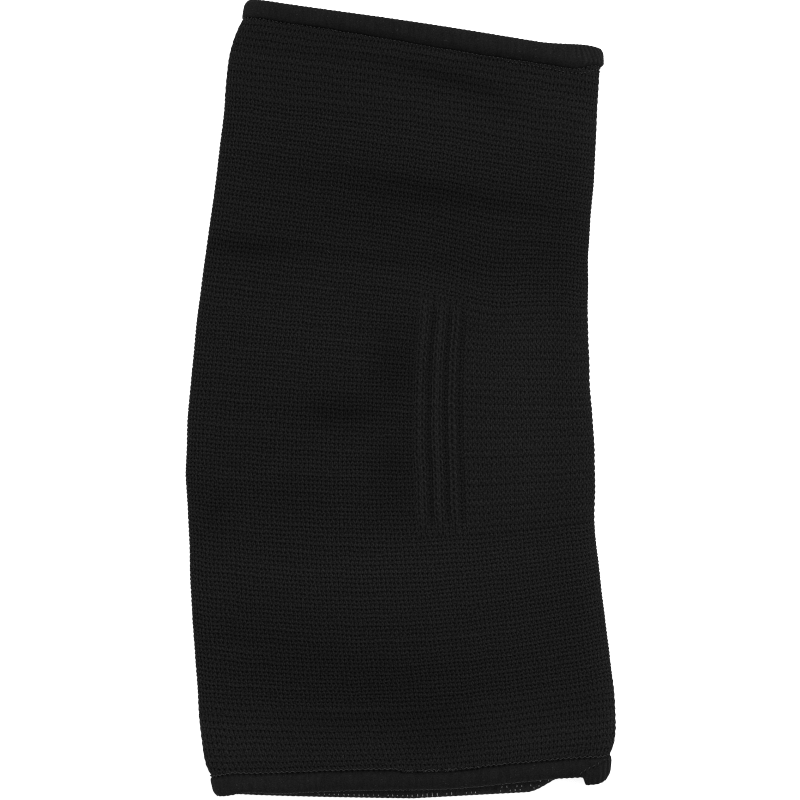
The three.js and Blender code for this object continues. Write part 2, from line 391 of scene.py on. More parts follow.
def resample(across, height, share):
    """Points at shares of each path's own length, with the outward direction of the section there."""
    steps = np.hypot(np.diff(across), np.diff(height))
    length = np.hstack((np.zeros((len(steps), 1)), np.cumsum(steps, axis=1)))
    slope_across = np.gradient(across, axis=1)
    slope_height = np.gradient(height, axis=1)
    size = np.hypot(slope_across, slope_height)
    fields = (across, height, -slope_height / size, slope_across / size)
    found = np.empty((4, *share.shape))
    for row in range(len(across)):
        at = share[row] * length[row, -1]
        for k, field in enumerate(fields):
            found[k, row] = np.interp(at, length[row], field[row])
    return found


def wall_points(down, around, offset):
    """Points of the sleeve's wall in metres, of shape (rows, columns, 3).

    down holds a distance from the thigh edge for each row, and past either edge the section goes
    straight on. around, of shape (rows, columns), is a place round the tube: 0 to 1 over the upper layer
    from the knee cap side, 1 to 2 back along the under layer. offset moves each point outwards."""
    inside = np.clip(down, 0, SLEEVE_LENGTH)
    past = (down - inside)[:, None]
    section, upper, under = layer_paths(inside)
    on_top = around <= 1
    over = resample(*upper, np.minimum(around, 1))
    below = resample(*under, np.maximum(around - 1, 0))
    across, height, out_across, out_height = np.where(on_top, over, below)
    share = 2 * across / section["width"]
    upper_hang = section["sag"] * (1 - np.minimum(1, share**2))
    upper_hang = upper_hang + section["dip"] * bell(share, DIP_PLACE, DIP_REACH)
    grown = np.clip((share - HANG_START) / -HANG_START, 0, 1) ** HANG_POWER
    under_hang = section["under"] * grown * smooth_step(HANG_END, HANG_FADE, share)
    hang = past + np.where(on_top, upper_hang, under_hang)
    across = across + offset * out_across
    cos, sin = np.cos(section["tilt"]), np.sin(section["tilt"])
    x = section["sway"] + across * cos + hang * sin
    y = UPPER_EDGE_Y - inside[:, None] + across * sin - hang * cos
    return np.stack((x, y, height + offset * out_height), axis=2)


def wall_path(down, around, offset):
    """Points of the wall for arrays of any one shape, each point on a section of its own."""
    down, around, offset = np.broadcast_arrays(down, around, offset)
    around = np.mod(around, 2)
    points = wall_points(down.ravel(), around.reshape(-1, 1), offset.reshape(-1, 1))
    return points.reshape(*down.shape, 3)


def wall_axes(down, around, offset):
    """Unit directions at points of the wall: round the tube, towards the calf, and outwards."""
    step = 0.2 * MM
    turn = 0.002
    round_tube = wall_path(down, around + turn, offset) - wall_path(down, around - turn, offset)
    outwards = wall_path(down, around, offset + step) - wall_path(down, around, offset - step)
    round_tube /= np.linalg.norm(round_tube, axis=-1, keepdims=True)
    outwards /= np.linalg.norm(outwards, axis=-1, keepdims=True)
    return round_tube, np.cross(round_tube, outwards), outwards


def drift(down, around, seed):
    """Smooth unevenness, mostly between -1 and 1, over the whole tube. Each seed gives another one."""
    rng = np.random.default_rng(seed)
    total = np.zeros(np.broadcast_shapes(np.shape(down), np.shape(around)))
    for turns in DRIFT_TURNS:
        twist = rng.uniform(*DRIFT_TWIST)
        phase = rng.uniform(0, 2 * math.pi)
        total = total + np.sin(math.pi * turns * around + twist * down + phase)
    return total / DRIFT_SCALE


def patch_shading(points):
    """Painted light and shade of the knit at points of its upper face."""
    total = np.zeros(points.shape[:-1])
    for x, y, half_length, half_width, turn, change in SHADING_PATCHES:
        cos, sin = math.cos(math.radians(turn)), math.sin(math.radians(turn))
        east, north = points[..., 0] / MM - x, points[..., 1] / MM - y
        along = bell(east * cos + north * sin, 0, half_length)
        across = bell(north * cos - east * sin, 0, half_width)
        total += change * along * across
    return total


def fold_highlight(around):
    """Painted highlight on the knit towards the two folds."""
    front, back = FOLD_HIGHLIGHT
    return front * bell(around, 0, EDGE_REACH) + back * bell(around, 1, EDGE_REACH)


def swing(push, down, around):
    """A push that is greatest at one place of the upper layer and fades round it."""
    at, place, span_down, span_around, most = push
    return most * bell(down, at, span_down) * bell(around, place, span_around)


def chart_at(chart, at):
    """Rows of a stitch chart at places between its rows. After the last row comes the first."""
    low = np.floor(at).astype(int)
    part = (at - low)[:, None]
    return chart[low % len(chart)] * (1 - part) + chart[(low + 1) % len(chart)] * part


def form_mesh(name, form):
    """Mesh of a finished bmesh."""
    mesh = bpy.data.meshes.new(name)
    form.to_mesh(mesh)
    form.free()
    return mesh


def closed_cloth(name, points, fields=None, crisp_rows=(), bends=None):
    """Mesh object of a ring of cloth: a grid whose rows and columns both close on themselves.

    points has shape (rows, columns, 3). fields maps attribute names to arrays of shape (rows, columns).
    crisp_rows are the rows whose following band of faces is flat, which keeps the bends beside it crisp.
    bends are the shading normals, where neighbouring pieces have to shade as one."""
    rows, columns = points.shape[:2]
    form = bmesh.new()
    bmesh.ops.create_grid(form, x_segments=columns, y_segments=rows, size=0.5)
    mesh = form_mesh(name, form)
    flat = np.empty(len(mesh.vertices) * 3)
    mesh.vertices.foreach_get("co", flat)
    flat = flat.reshape(-1, 3)
    column = np.rint((flat[:, 0] + 0.5) * columns).astype(int)
    row = np.rint((flat[:, 1] + 0.5) * rows).astype(int)
    cell = row % rows, column % columns
    mesh.vertices.foreach_set("co", points[cell].ravel())
    for field, values in (fields or {}).items():
        layer = mesh.attributes.new(field, "FLOAT", "POINT")
        layer.data.foreach_set("value", values[cell].ravel())
    if bends is not None:
        layer = mesh.attributes.new("bend", "FLOAT_VECTOR", "POINT")
        layer.data.foreach_set("vector", bends[cell].ravel())
    strides = np.diff(np.vstack((points[:, 0], points[:1, 0])), axis=0)
    along = np.concatenate(((0,), np.cumsum(np.linalg.norm(strides, axis=1))))
    corner = np.empty(len(mesh.loops), dtype=np.int32)
    mesh.loops.foreach_get("vertex_index", corner)
    uv = np.column_stack((column[corner] / columns, along[row[corner]] / along[-1]))
    mesh.uv_layers.new(name="OFBake").data.foreach_set("uv", uv.ravel())
    first_row = row[corner].reshape(-1, 4).min(axis=1)
    smooth = ~np.isin(first_row, [r % rows for r in crisp_rows])
    mesh.polygons.foreach_set("use_smooth", smooth)
    form = bmesh.new()
    form.from_mesh(mesh)
    bmesh.ops.remove_doubles(form, verts=form.verts, dist=1e-7)
    bmesh.ops.recalc_face_normals(form, faces=form.faces)
    form.to_mesh(mesh)
    form.free()
    if bends is not None:
        kept = np.empty(len(mesh.vertices) * 3)
        mesh.attributes["bend"].data.foreach_get("vector", kept)
        mesh.attributes.remove(mesh.attributes["bend"])
        mesh.normals_split_custom_set_from_vertices(kept.reshape(-1, 3).tolist())
    return link_piece(name, mesh)


def link_piece(name, mesh):
    """Object of a finished mesh, in the scene."""
    piece = bpy.data.objects.new(name, mesh)
    bpy.context.scene.collection.objects.link(piece)
    return piece


def dress(piece, material, slot, *nodes):
    """Give a piece its material, hang it on the body and hide the frame's parts that it stands in for."""
    piece.data.materials.append(material)
    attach(piece, BODY)
    if nodes:
        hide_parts(*nodes)


def stitches(name, centres, along, side, out, length, thick):
    """One mesh of many spindle-shaped stitches, each at its centre with its own directions and length."""
    half = np.broadcast_to(length / 2, len(centres))[:, None]
    form = bmesh.new()
    for axes in np.stack((side * thick / 2, out * thick / 2, along * half, centres), axis=2):
        place = Matrix((*axes.tolist(), (0, 0, 0, 1)))
        bmesh.ops.create_uvsphere(form, u_segments=7, v_segments=6, radius=1, matrix=place)
    bmesh.ops.recalc_face_normals(form, faces=form.faces)
    for face in form.faces:
        face.smooth = True
    return link_piece(name, form_mesh(name, form))


def thread_ring(name, path, out, radius, sides=7):
    """Closed tube of thread along a path that ends where it starts."""
    ahead = np.roll(path, -1, axis=0) - np.roll(path, 1, axis=0)
    ahead /= np.linalg.norm(ahead, axis=1, keepdims=True)
    side = np.cross(ahead, out)
    side /= np.linalg.norm(side, axis=1, keepdims=True)
    up = np.cross(side, ahead)
    angle = np.arange(sides) / sides * 2 * math.pi
    cos, sin = np.cos(angle)[None, :, None], np.sin(angle)[None, :, None]
    ring = cos * up[:, None, :] + sin * side[:, None, :]
    return closed_cloth(name, path[:, None, :] + radius * ring)


class Surface:
    """A procedural material, with the few kinds of node that the cloth and the thread are made of."""

    def __init__(self, name, colour, roughness, specular):
        self.material = bpy.data.materials.new(name)
        self.material.use_nodes = True
        self.nodes = self.material.node_tree.nodes
        self.links = self.material.node_tree.links
        self.shader = self.nodes["Principled BSDF"]
        self.shader.inputs["Base Color"].default_value = (*colour, 1)
        self.shader.inputs["Roughness"].default_value = roughness
        self.shader.inputs["Specular IOR Level"].default_value = specular

    def node(self, kind, inputs, **options):
        """A node with its options. Each input is a value or another node's output."""
        node = self.nodes.new("ShaderNode" + kind)
        for name, value in options.items():
            setattr(node, name, value)
        for socket, value in inputs.items():
            if isinstance(value, bpy.types.NodeSocket):
                self.links.new(value, node.inputs[socket])
            else:
                node.inputs[socket].default_value = value
        return node

    def noise(self, scale, detail=2.0, upright=1.0, kind="3D"):
        """Noise over the object's own place, in space or, as 2D, the same at all heights.

        Less than 1 for upright draws its grains out along the sleeve."""
        place = self.node("TexCoord", {}).outputs["Object"]
        stretched = self.node("VectorMath", {0: place, 1: (1, upright, 1)}, operation="MULTIPLY")
        inputs = {"Vector": stretched.outputs["Vector"], "Scale": scale, "Detail": detail}
        return self.node("TexNoise", inputs, noise_dimensions=kind).outputs["Fac"]

    def attribute(self, name):
        return self.node("Attribute", {}, attribute_name=name).outputs["Fac"]

    def spread(self, source, low, high, least, most):
        """Values from low to high of a source, spread from least to most."""
        inputs = {"Value": source, "From Min": low, "From Max": high, "To Min": least, "To Max": most}
        return self.node("MapRange", inputs).outputs["Result"]

    def product(self, first, *factors):
        for factor in factors:
            first = self.node("Math", {0: first, 1: factor}, operation="MULTIPLY").outputs["Value"]
        return first

    def colour_with_pit_shade(self, colour, dark, factor):
        """Colour that goes over to a dark one, a painted shade, in the pits of the cloth, times a factor."""
        inputs = {"Factor": self.attribute("pit"), "A": (*colour, 1), "B": (*dark, 1)}
        mixed = self.node("Mix", inputs, data_type="RGBA").outputs["Result"]
        scaled = self.node("VectorMath", {"Vector": mixed, "Scale": factor}, operation="SCALE")
        self.links.new(scaled.outputs["Vector"], self.shader.inputs["Base Color"])

    def bump(self, source, strength, distance):
        bump = self.node("Bump", {"Height": source, "Strength": strength, "Distance": distance})
        self.links.new(bump.outputs["Normal"], self.shader.inputs["Normal"])


def knit_material(settings):
    """Matt black elastic yarn with painted shade in the gaps between loops and painted light and shade in
    its tone, uneven from fibre to fibre.
    """
    knit = Surface("black_knit", settings.yarn_colour, roughness=0.8, specular=0.03)
    fibre = knit.noise(scale=2300, detail=1.0, upright=0.7, kind="2D")
    fleck = knit.spread(fibre, 0.33, 0.67, least=0.53, most=1.5)
    factor = knit.product(knit.attribute("tone"), fleck)
    knit.colour_with_pit_shade(settings.yarn_colour, settings.gap_shade_colour, factor)
    knit.bump(fibre, strength=0.25, distance=0.1 * MM)
    return knit.material


def binding_material(settings):
    """Dense felted tape, streaked across, with pale flecks of lint, painted shade in its pits and painted
    light and shade in its tone.
    """
    tape = Surface("black_binding_tape", settings.tape_colour, roughness=0.85, specular=0.03)
    grain = tape.noise(scale=2300, detail=3.0)
    felt = tape.spread(grain, 0.35, 0.65, least=0.7, most=1.3)
    lint = tape.spread(tape.noise(scale=1500, detail=1.0), 0.7, 0.76, least=1.0, most=2.6)
    streak = tape.noise(scale=900, detail=1.0, upright=0.12)
    streaks = tape.spread(streak, 0.3, 0.7, least=0.85, most=1.15)
    factor = tape.product(tape.attribute("tone"), felt, lint, streaks)
    # Painted shade: the pits go over to a quarter of the tape's colour
    tape.colour_with_pit_shade(settings.tape_colour, tuple(0.25 * c for c in settings.tape_colour), factor)
    tape.bump(grain, strength=0.3, distance=0.1 * MM)
    return tape.material


def thread_material(name, colour):
    """Twisted sewing thread with a slight sheen."""
    thread = Surface(name, colour, roughness=0.55, specular=0.15)
    fibre = thread.noise(scale=1400)
    ramp = thread.node("ValToRGB", {"Fac": fibre})
    for stop, position, bright in zip(ramp.color_ramp.elements, (0.3, 0.7), (0.35, 1.4)):
        stop.position = position
        stop.color = tuple(bright * c for c in colour) + (1,)
    thread.links.new(ramp.outputs["Color"], thread.shader.inputs["Base Color"])
    thread.bump(fibre, strength=0.2, distance=0.05 * MM)
    return thread.material


class KnitSettings(bpy.types.PropertyGroup):
    """Sizes and colours of the knitted tube."""

    wall: FloatProperty(name="Wall", description="Thickness of the knit", default=2 * MM, unit="LENGTH")
    wales: IntProperty(name="Wales", description="Columns of stitches on each layer", default=100)
    relief: FloatProperty(
        name="Relief", description="Height of a loop above the wall", default=0.32 * MM, unit="LENGTH"
    )
    rib_height: FloatProperty(
        name="Rib", description="Height of the raised wales", default=0.5 * MM, unit="LENGTH"
    )
    drift: FloatProperty(
        name="Drift", description="How far courses and wales wander", default=0.18 * MM, unit="LENGTH"
    )
    yarn_colour: FloatVectorProperty(
        name="Yarn", description="Colour of the yarn on a loop", default=(0.0122,) * 3, subtype="COLOR"
    )
    # Painted shade: the dark colour that the gaps between loops take in place of the shade in them
    gap_shade_colour: FloatVectorProperty(
        name="Gap", description="Colour in the gaps between loops", default=(0.0024,) * 3, subtype="COLOR"
    )


class BindingSettings(bpy.types.PropertyGroup):
    """Sizes and colours of the two bound edges."""

    thickness: FloatProperty(
        name="Thickness", description="Thickness of the tape", default=1.1 * MM, unit="LENGTH"
    )
    gap: FloatProperty(name="Gap", description="Gap between tape and knit", default=0.3 * MM, unit="LENGTH")
    overlap: FloatProperty(
        name="Overlap", description="How far the tape reaches onto the knit", default=4.2 * MM, unit="LENGTH"
    )
    swell: FloatProperty(
        name="Swell", description="Extra height on the upper layer", default=0.6 * MM, unit="LENGTH"
    )
    lap_rise: FloatProperty(
        name="Lap", description="How far the rim stands out at its lap", default=2.8 * MM, unit="LENGTH"
    )
    ridges: IntProperty(name="Ridges", description="Cross ridges round each band", default=155)
    tape_colour: FloatVectorProperty(
        name="Tape", description="Colour of the tape", default=(0.0105,) * 3, subtype="COLOR"
    )


class ThreadSettings(bpy.types.PropertyGroup):
    """Sizes and colours of the sewing."""

    thickness: FloatProperty(
        name="Thickness", description="Thickness of the sewing thread", default=0.32 * MM, unit="LENGTH"
    )
    colour: FloatVectorProperty(
        name="Thread", description="Colour of the sewing thread", default=(0.027,) * 3, subtype="COLOR"
    )
    pale_colour: FloatVectorProperty(
        name="Pale", description="Colour of the thread inside the hem", default=(0.4,) * 3, subtype="COLOR"
    )


class StageSettings(bpy.types.PropertyGroup):
    """Floor, light and camera."""

    lens: FloatProperty(name="Lens", description="Focal length of the camera", default=110, unit="CAMERA")
    frame_width: FloatProperty(
        name="Frame", description="Width that the picture shows", default=292 * MM, unit="LENGTH"
    )
    floor_colour: FloatVectorProperty(
        name="Floor", description="Colour of the floor", default=(0.9,) * 3, subtype="COLOR"
    )
    floor_glow: FloatProperty(name="Glow", description="Light that the floor gives off", default=0.72)
    sky: FloatProperty(name="Sky", description="Light from all round", default=0.4)
    lamp_size: FloatProperty(name="Lamp", description="Side of the soft lamp", default=1.8, unit="LENGTH")
    lamp_power: FloatProperty(name="Power", description="Power of the soft lamp", default=42, unit="POWER")


class KNEE_OT_stage(bpy.types.Operator):
    """Pale lit floor, soft light from the thigh end and a camera straight above the sleeve"""

    bl_idname = "knee.stage"
    bl_label = "Stage"

    def execute(self, context):
        settings = context.scene.knee_stage
        scene = context.scene
        form = bmesh.new()
        bmesh.ops.create_grid(form, x_segments=1, y_segments=1, size=FLOOR_HALF)
        floor = link_piece("floor", form_mesh("floor", form))
        floor.location.z = -FLOOR_DROP
        pale = Surface("pale_floor", settings.floor_colour, roughness=0.9, specular=0.1)
        pale.shader.inputs["Emission Color"].default_value = (1, 1, 1, 1)
        pale.shader.inputs["Emission Strength"].default_value = settings.floor_glow
        floor.data.materials.append(pale.material)
        world = bpy.data.worlds.new("soft_white")
        world.use_nodes = True
        sky = world.node_tree.nodes["Background"]
        sky.inputs["Color"].default_value = (1, 1, 1, 1)
        sky.inputs["Strength"].default_value = settings.sky
        scene.world = world
        lamp = bpy.data.lights.new("softbox", "AREA")
        lamp.size = settings.lamp_size
        lamp.energy = settings.lamp_power
        light = bpy.data.objects.new("softbox", lamp)
        light.location = LAMP_PLACE
        light.rotation_euler = (-light.location).to_track_quat("-Z", "Y").to_euler()
        scene.collection.objects.link(light)
        lens = bpy.data.cameras.new("overhead")
        lens.lens = settings.lens
        lens.sensor_width = SENSOR_WIDTH
        camera = bpy.data.objects.new("overhead", lens)
        distance = settings.frame_width * settings.lens / SENSOR_WIDTH
        camera.location = (*CAMERA_PLACE, distance + FRAME_HEIGHT)
        scene.collection.objects.link(camera)
        scene.camera = camera
        scene.view_settings.view_transform = "Standard"
        scene.cycles.use_denoising = False
        scene.cycles.filter_width = PIXEL_FILTER
        return {"FINISHED"}


def knit_columns(wales):
    """Wale, kind and side of the spine for every column of stitches round the tube."""
    cells = [(k, kind, side) for k in range(wales) for kind, side in UPPER_PLACES]
    cells += [(wales + k, kind, side) for k in range(wales) for kind, side in UNDER_PLACES]
    return tuple(np.array(values) for values in zip(*cells))


def knit_rows():
    """Distance down the sleeve, step in the repeat, kind and tone of every row, and where the zones end."""
    rows = []
    ends = [0]
    start = KNIT_START
    for _, repeats, length, coarse, tone in ZONES:
        for k in range(repeats * ROWS_IN_REPEAT):
            rows.append((start + k * length * MM / ROWS_IN_REPEAT, k % ROWS_IN_REPEAT, coarse, tone))
        start += repeats * length * MM
        ends.append(len(rows))
    rows.append((start, 0, coarse, tone))
    return *(np.array(values) for values in zip(*rows)), ends


def grid_normals(points):
    """Unit normals of a grid whose columns close on themselves."""
    along = np.gradient(points, axis=0)
    across = np.roll(points, -1, axis=1) - np.roll(points, 1, axis=1)
    normals = np.cross(along, across)
    return normals / np.linalg.norm(normals, axis=2, keepdims=True)


def raised_columns(wale, kind, wales):
    """Which columns belong to raised wales or to the panel, and how far each rises in rib heights."""
    under = wale >= wales
    mirrored = np.where(under, 2 * wales - 1 - wale, wale)
    in_rib = np.zeros(len(wale), dtype=bool)
    beside = in_rib.copy()
    for first, last in RIB_WALES:
        in_rib |= (mirrored >= first) & (mirrored <= last)
        beside |= ((mirrored == first) | (mirrored == last + 1)) & (kind == GAP)
    in_panel = mirrored >= PANEL_WALE
    between = ~in_rib & ~in_panel & (mirrored > RIB_WALES[0][0])
    rise = np.select((in_rib, between, in_panel), (RIB_RISE, BETWEEN_RISE, PANEL_RISE), 0.0)
    rise[beside] = RIB_SIDE_RISE
    rise[under] = 0
    return in_rib | beside, in_panel, rise


def stitch_charts(down, step, coarse, in_rib, in_panel):
    """Row of a stitch chart for every point of the knit, and how far aside its course stands in wales."""
    ribbed = ((down > RIB_START) & (down < RIB_END) & ~coarse)[:, None]
    stage = (down + swing(COURSE_SWING, down, PANEL_MIDDLE) - RIB_START) / PANEL_REPEAT * ROWS_IN_REPEAT
    chart = np.where(coarse[:, None], COARSE_STITCH[step], FINE_STITCH[step])[:, None]
    for cells, stitch in ((ribbed & in_panel, PANEL_STITCH), (ribbed & in_rib, RIB_STITCH)):
        chart = np.where(cells[..., None], chart_at(stitch, stage)[:, None], chart)
    close = ((step >= ROWS_IN_REPEAT // 2) & ~coarse)[:, None] & ~(ribbed & (in_panel | in_rib))
    return chart, np.where(close, FINE_SHIFT, 0)


def course_stretches(rng, course, around):
    """How far each course is drawn open or close, by stretches of its way round."""
    knots = np.linspace(0, 2, STRETCHES + 1)
    drawn = rng.normal(size=(course[-1] + 1, len(knots)))
    return np.array([np.interp(places, knots, drawn[k]) for places, k in zip(around, course)])


class KNEE_OT_knit(bpy.types.Operator):
    """Five rings of knit, stitch by stitch, that make up the tube"""

    bl_idname = "knee.knit"
    bl_label = "Knit"

    def execute(self, context):
        settings = context.scene.knee_knit
        material = knit_material(settings)
        wales = settings.wales
        wale, kind, side = knit_columns(wales)
        down, step, coarse, zone_tone, ends = knit_rows()
        rows_down = down[:, None]
        under = wale >= wales
        in_rib, in_panel, rib_rise = raised_columns(wale, kind, wales)
        chart, aside = stitch_charts(down, step, coarse, in_rib, in_panel)
        relief = np.choose(kind[None, :], (chart[..., GAP], chart[..., LEG], chart[..., SPINE]))
        place = wale + np.where(kind == GAP, 0, 0.5 + side * chart[..., SPREAD])
        lift = plateau(rows_down, RIB_START, RIB_START + RIB_FADE, RIB_END - RIB_FADE, RIB_END)
        spread = lift * (np.interp(place, RIB_EDGES, SPREAD_EDGES) - place)
        spreading = (place > RIB_EDGES[0]) & (place < RIB_EDGES[-1])
        around = (place + aside + np.where(spreading, spread, 0)) / wales
        lean = np.interp(rows_down, LEAN_DOWN, LEAN_AROUND) * plateau(around, *LEAN_SPAN)
        around = around + np.where(under, 0, lean + swing(WALE_SWING, rows_down, around))
        rng = np.random.default_rng(31)
        course = np.cumsum((step == 0) | ((step == ROWS_IN_REPEAT // 2) & ~coarse))
        loops = rng.normal(size=(course[-1] + 1, len(wale)))[course]
        grain = rng.normal(size=relief.shape)
        stray = np.clip(rng.normal(size=(3, course[-1] + 1, 2 * wales)), -2, 2)
        stray_round, stray_down, gap_depth = stray[:, course][:, :, wale]
        around = around + STRAY_ROUND * stray_round / wales
        drawn = course_stretches(rng, course, around)
        relief = relief + LOOP_RELIEF * loops + POINT_RELIEF * grain
        relief = relief + (GAP_RELIEF * gap_depth + STRETCH_RELIEF * drawn) * (kind == GAP)
        rise = lift * rib_rise
        # Painted highlight on high legs and raised wales, painted shade on the knit sunk between the wales
        bright = RISE_SHADING * rise + LEG_HIGHLIGHT * (kind == LEG) * (relief > LEG_TOP)
        tone = np.exp(LOOP_TONE * loops + POINT_TONE * grain + STRETCH_TONE * drawn + bright)
        # Painted shade: the deeper a point lies below the loop tops, the more of the dark gap colour it
        # takes
        pit = np.clip((PIT_TOP - relief) / PIT_DEPTH, 0, 1)
        offset = relief * settings.relief + rise * settings.rib_height
        offset[:, under] -= UNDER_PRESS * settings.relief
        outer = wall_points(down, around, offset)
        steady = plateau(rows_down, 0, STEADY_REACH, SLEEVE_LENGTH - STEADY_REACH, SLEEVE_LENGTH)
        outer[..., 0] += steady * settings.drift / 2 * drift(rows_down, around, 5)
        outer[..., 1] += steady * (settings.drift * drift(rows_down, around, 6) + STRAY_DOWN * stray_down)
        outer[..., 1] -= np.where(under, 0, swing(COURSE_SWING, rows_down, around))
        tone = zone_tone[:, None] * tone
        # Painted light and shade from the soft patches, and a painted highlight along the folds, on the
        # upper layer
        tone = tone * np.exp(np.where(under, 0, patch_shading(outer) + fold_highlight(around)))
        normals = grid_normals(outer)
        plain = np.ones((INNER_ROWS, len(wale)))
        inner_around = np.repeat(around[:1], INNER_ROWS, axis=0)
        for (name, *_), first, last in zip(ZONES, ends, ends[1:]):
            rows = slice(first, last + 1)
            inner_down = np.linspace(down[last], down[first], INNER_ROWS)
            inner = wall_points(inner_down, inner_around, -settings.wall * plain)
            fields = {
                "pit": np.concatenate((pit[rows], INNER_PIT * plain)),
                "tone": np.concatenate((tone[rows], plain)),
            }
            bends = np.concatenate((normals[rows], -grid_normals(inner[::-1])[::-1]))
            piece = closed_cloth(name, np.concatenate((outer[rows], inner)), fields, bends=bends)
            dress(piece, material, "knit", SLEEVE_NODE)
        return {"FINISHED"}


def ridge_places(settings):
    """Places round the tube, evenly spread over a band's cross ridges."""
    count = settings.ridges * RIDGE_POINTS
    return np.arange(count) / count * 2


def middle_share(around):
    """1 at the middle of the upper layer, 0 at its folds and below."""
    share = np.clip(around, 0, 1)
    return 4 * share * (1 - share)


def upper_overlap(settings, around):
    """How far the upper band reaches onto the knit: deepest past the middle, drawn in at the back fold."""
    share = np.clip(around, 0, 1)
    bow = 1.5 * MM * bell(share, 0.6, np.where(share < 0.6, 0.3, 0.45))
    drawn = 2.5 * MM * plateau(around, *UPPER_DRAWN)
    return settings.overlap - 0.2 * MM + bow - drawn + 0.12 * MM * drift(0.0, around, 9)


def lower_overlap(settings, around):
    """How far the lower band reaches onto the knit: more towards the knee cap side."""
    bow = 0.6 * MM * middle_share(around)
    front = 0.6 * MM * plateau(around, *LOWER_FRONT)
    corner = 0.9 * MM * bell(around, 0.075, 0.035)
    slack = 0.45 * MM * plateau(around, *LOWER_SLACK)
    return settings.overlap + bow + front + corner - slack + 0.12 * MM * drift(0.0, around, 9)


def lap_line(around):
    """How far past the edge the slanting seam of the lap runs: steep from the rim, then level."""
    share = np.clip((around - LAP_START) / LAP_SPAN, 0, 1)
    return 1.4 * MM - 4.6 * MM * (1 - (1 - share) ** 1.8)


def upper_tip(settings, around):
    """How far past the edge the upper band's rim reaches."""
    return TAPE_TIP + 1.5 * MM * plateau(around, *UPPER_CORNER)


def lower_tip(settings, around):
    """How far past the edge the lower band's rim reaches: further where its ends lap at the back fold."""
    return TAPE_TIP + settings.lap_rise * plateau(around, *LAP_BULGE) - MM * bell(around, 0.1, 0.045)


def tape_crest(settings, around):
    """Height of the tape's roll above the wall: it swells on the upper layer."""
    return settings.gap + settings.thickness + settings.swell * np.minimum(1, 2 * middle_share(around))


def tape_inside(settings, wall):
    """Offset of the tape's inner face."""
    return -wall - settings.gap - settings.thickness


def hem_offset(settings, wall, past):
    """Outward offset of a rim's inner half at distances past the edge, where no lap stands out."""
    turn = np.clip((past - TAPE_PEAK) / (TAPE_TIP - TAPE_PEAK), 0, 1)
    return -wall / 2 + (tape_inside(settings, wall) + wall / 2) * np.sqrt(1 - turn**2)


def tape_rows(on_seam, on_rim, on_hem):
    """Rows over the tape, each stretch of them from a value or from a column of values."""
    stretches = zip((on_seam, on_rim, on_hem), (SEAM_ROWS, RIM_ROWS, HEM_ROWS))
    return np.vstack([values + 0 * rows for values, rows in stretches])


# How far each row over the tape belongs to its top, its rim and its inside, how far it is from the seam, and
# how close to it
ON_TOP = tape_rows(np.sin(SEAM_ROWS), 1, 0)
AT_RIM = tape_rows(0, np.sin(RIM_ROWS), np.cos(HEM_ROWS))
INSIDE = tape_rows(0, 0, 1)
FROM_SEAM = tape_rows(1 - np.cos(SEAM_ROWS), 1, 1)
AT_SEAM = tape_rows(np.clip(1 - np.sin(SEAM_ROWS) / 0.45, 0, 1), 0, 0)


def upper_tape_look(settings, around, past):
    """Gathers of the upper band and their lean, its painted light and shade, its painted shade towards the
    seam and its own relief.
    """
    gathered = plateau(around, *UPPER_GATHER) * ON_TOP**3
    # Painted shade under the roll of the tape, along the seam
    pit = 0.3 * smooth_step(0.12, 0.35, around) * smooth_step(0.78, 0.3, FROM_SEAM) + 0.1 * AT_SEAM
    return gathered, 0.6 * gathered, np.interp(around, *UPPER_SHADE), pit, 0


def lower_tape_look(settings, around, past):
    """The same for the lower band: holes along its seam, a loose stretch and the lap at the back fold."""
    hole = np.clip(np.cos(math.pi * settings.ridges * around), 0, 1) ** 2
    loose = bell(around, LOOSE_PLACE, LOOSE_REACH) * np.clip(0.6 + drift(0.0, around * 3, 17), 0, 1.5)
    # Painted shade in the holes along the seam, where the seam is loose, and beside the seam in the middle
    pit = smooth_step(0.24, 0.1, FROM_SEAM) * (0.35 + 0.5 * hole) + AT_SEAM * loose
    pit = pit + 0.25 * middle_share(around) * smooth_step(0.65, 0.15, FROM_SEAM)
    beside = past - lap_line(around)
    lapped = plateau(around, *LAP_FACE) * (1 - INSIDE)
    notch = 0.5 + 0.5 * np.cos(2 * math.pi * (around - LAP_FIRST) / LAP_PITCH)
    # Painted shade in the notches between the lap seam's stitches
    pit = pit + 1.1 * lapped * notch * bell(beside, 0.3 * MM, 0.45 * MM)
    relief = 0.45 * MM * lapped * smooth_step(-0.1 * MM, 0.5 * MM, beside) - 0.3 * MM * AT_SEAM * hole
    return plateau(around, *LOWER_GATHER), 0, np.interp(around, *LOWER_SHADE), pit, relief


